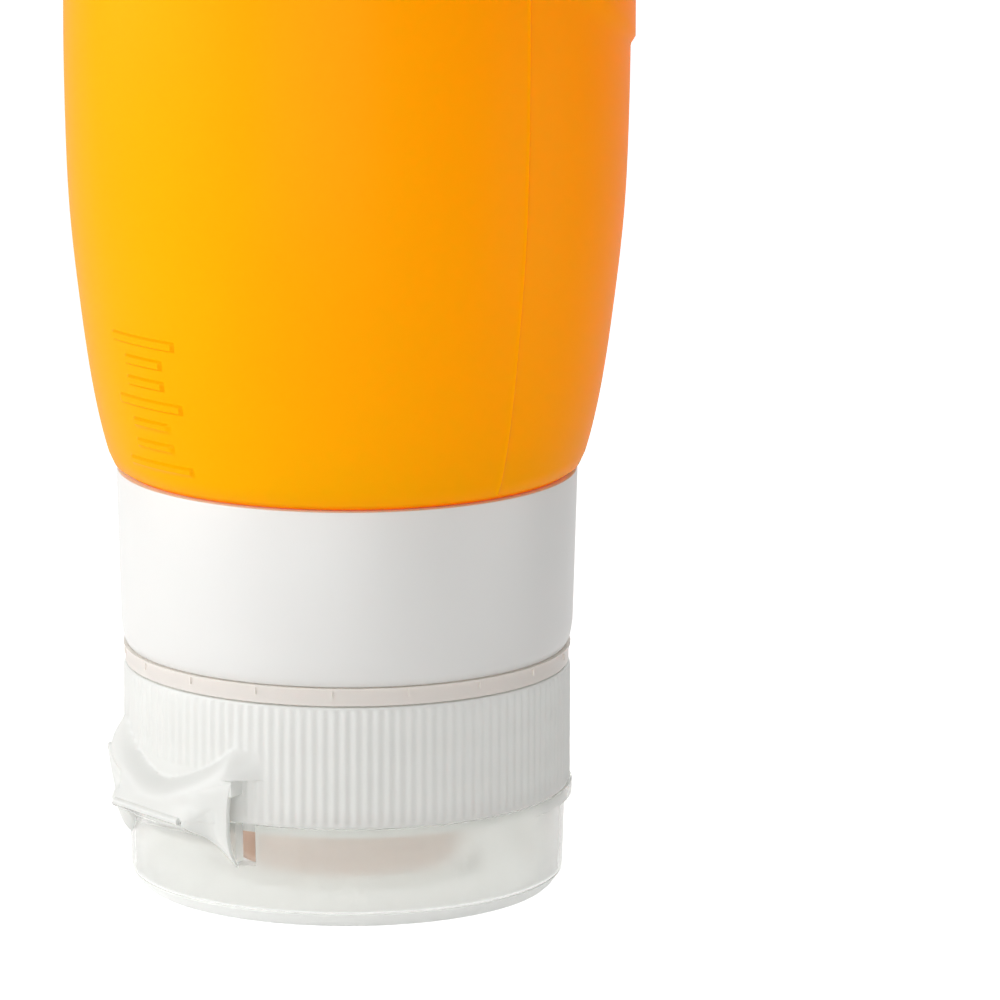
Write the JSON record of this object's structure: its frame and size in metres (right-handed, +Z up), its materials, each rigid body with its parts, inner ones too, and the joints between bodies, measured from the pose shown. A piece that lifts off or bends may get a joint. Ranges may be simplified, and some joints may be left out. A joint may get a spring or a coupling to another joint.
{
  "type": "travel silicone bottle",
  "caption": "Translucent silicone squeeze bottle with a turning collar, a screw closure and a hinged flip-top lid that it stands on.",
  "frame": {"origin": "centre of the lid's flat standing face", "axes": "+Z up along the bottle's axis towards the base of the body; -Y towards the lid's hinge; +X to the right of the hinge"},
  "size_m": [0.0464, 0.0466, 0.12],
  "materials": {
    "orange_silicone": "satin translucent",
    "clear_silicone": "satin translucent",
    "frosted_plastic": "frosted translucent",
    "white_plastic": "satin"
  },
  "bodies": {
    "cap": {"closure": "frosted_plastic", "hinge_film": "frosted_plastic", "hinge_bands_upper": "frosted_plastic", "no_drip_valve": "orange_silicone", "valve_retainer": "frosted_plastic"},
    "flip_lid": {"lid": "frosted_plastic", "hinge_bands_lower": "frosted_plastic"},
    "washer": {"sealing_washer": "clear_silicone"},
    "bottle": {"bottle_body": "orange_silicone", "neck_sleeve": "frosted_plastic"},
    "label_collar": {"collar": "white_plastic"}
  },
  "joints": [
    {"name": "lid_hinge", "type": "hinge", "parent": "cap", "child": "flip_lid", "pos_m": [0, -0.02016, 0.00845], "axis": [-1, 0, 0], "range_deg": [0, 180]},
    {"name": "neck_rise", "type": "slide", "parent": "cap", "child": "washer", "axis": [0, 0, 1], "range_m": [0, 0.0045]},
    {"name": "bottle_turn", "type": "hinge", "parent": "washer", "child": "bottle", "pos_m": [0, 0, 0.02], "axis": [0, 0, 1], "range_deg": [0, 540]},
    {"name": "collar_turn", "type": "hinge", "parent": "bottle", "child": "label_collar", "pos_m": [0, 0, 0.0276], "axis": [0, 0, 1], "continuous": true}
  ],
  "couplings": [
    {"joint": "neck_rise", "follows": "bottle_turn", "m_per_rad": 0.00047746}
  ]
}
